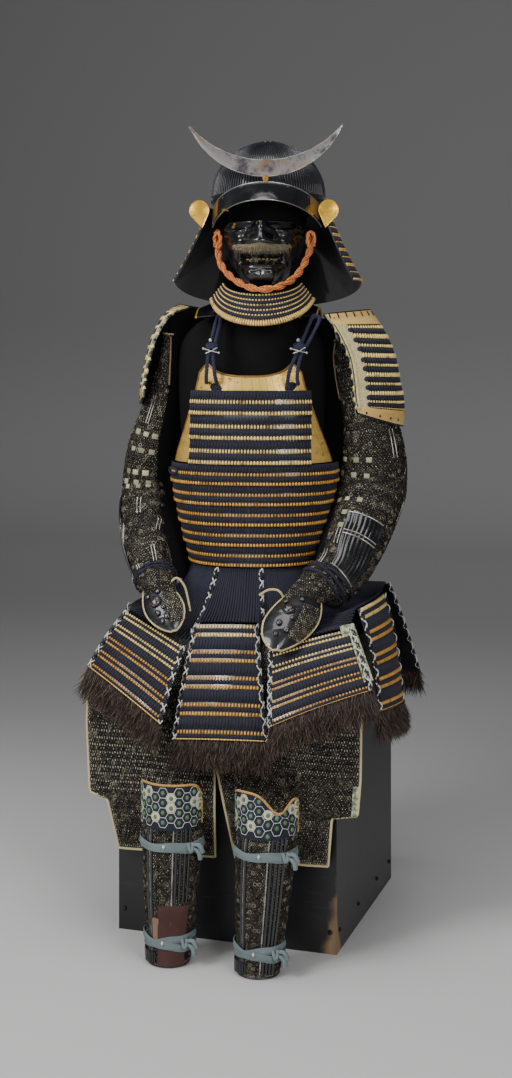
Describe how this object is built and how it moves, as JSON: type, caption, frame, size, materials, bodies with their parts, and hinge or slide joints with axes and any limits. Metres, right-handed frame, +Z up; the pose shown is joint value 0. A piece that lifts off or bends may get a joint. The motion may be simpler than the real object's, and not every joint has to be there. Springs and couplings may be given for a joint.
{
  "type": "samurai armour on a stand with a limbless form and a storage box",
  "caption": "Laced samurai armour with crescent-crested helmet and mask, set up seated on its storage box over a limbless stand form.",
  "frame": {"origin": "middle of the storage box's underside, on the floor", "axes": "+Z up, front of the box towards -Y, left and right as seen from the front"},
  "size_m": [0.6143, 0.7046, 1.536],
  "materials": {
    "lacquered_wood": "black lacquer over wood, gloss",
    "stand_cloth": "black cloth",
    "post_wood": "stained wood",
    "ridged_iron": "black lacquered iron, ridged",
    "gloss_lacquer": "gloss black lacquer",
    "aged_silver": "tarnished silver",
    "gold_leaf": "gilt",
    "gold_lacquer": "gold lacquer",
    "laced_lames": "gold lacquered lames laced in navy silk",
    "navy_lacing": "navy braid",
    "bristle": "bristle",
    "orange_cord": "twisted silk cord",
    "mail_cloth": "cloth with iron mail",
    "dark_iron": "dark iron",
    "splinted_iron": "iron splints and mail",
    "brown_fur": "fur",
    "hex_brocade": "padded cloth with hexagons",
    "pale_tie": "cloth tie"
  },
  "bodies": {
    "root": {"box_body": "lacquered_wood", "box_lid": "lacquered_wood", "stand_torso": "stand_cloth", "stand_head": "stand_cloth", "stand_leg_left": "post_wood", "stand_leg_right": "post_wood", "helmet_bowl": "ridged_iron", "helmet_peak": "gloss_lacquer", "helmet_crest": "aged_silver", "helmet_neck_guard": "laced_lames", "helmet_flap_left": "gold_leaf", "helmet_flap_right": "gold_leaf", "mask": "gloss_lacquer", "moustache": "bristle", "throat_guard": "laced_lames", "chin_cord": "orange_cord", "do_chest_plate": "gold_lacquer", "do_front_upper": "laced_lames", "do_front_lower": "laced_lames", "do_back_lower": "laced_lames", "do_back_upper": "laced_lames", "shoulder_strap_left": "gloss_lacquer", "shoulder_strap_right": "gloss_lacquer", "toggle_cord_left": "navy_lacing", "toggle_cord_right": "navy_lacing", "sode_left": "laced_lames", "sode_right": "laced_lames", "sleeve_upper_left": "mail_cloth", "sleeve_upper_right": "mail_cloth", "sleeve_lower_left": "mail_cloth", "sleeve_lower_right": "mail_cloth", "forearm_plate_left": "dark_iron", "forearm_plate_right": "dark_iron", "hand_guard_left": "dark_iron", "hand_guard_right": "dark_iron", "waist_lacing": "navy_lacing", "thigh_guard_left": "mail_cloth", "thigh_guard_right": "mail_cloth", "shin_guard_left": "splinted_iron", "shin_guard_right": "splinted_iron", "knee_plate_left": "hex_brocade", "knee_plate_right": "hex_brocade", "tasset_front": "laced_lames", "fur_front": "brown_fur", "tasset_front_right": "laced_lames", "fur_front_right": "brown_fur", "tasset_side_right": "laced_lames", "fur_side_right": "brown_fur", "tasset_back_right": "laced_lames", "fur_back_right": "brown_fur", "tasset_back_left": "laced_lames", "fur_back_left": "brown_fur", "tasset_side_left": "laced_lames", "fur_side_left": "brown_fur", "tasset_front_left": "laced_lames", "fur_front_left": "brown_fur", "tie_upper_left": "pale_tie", "tie_upper_right": "pale_tie", "tie_lower_left": "pale_tie", "tie_lower_right": "pale_tie"}
  },
  "joints": []
}
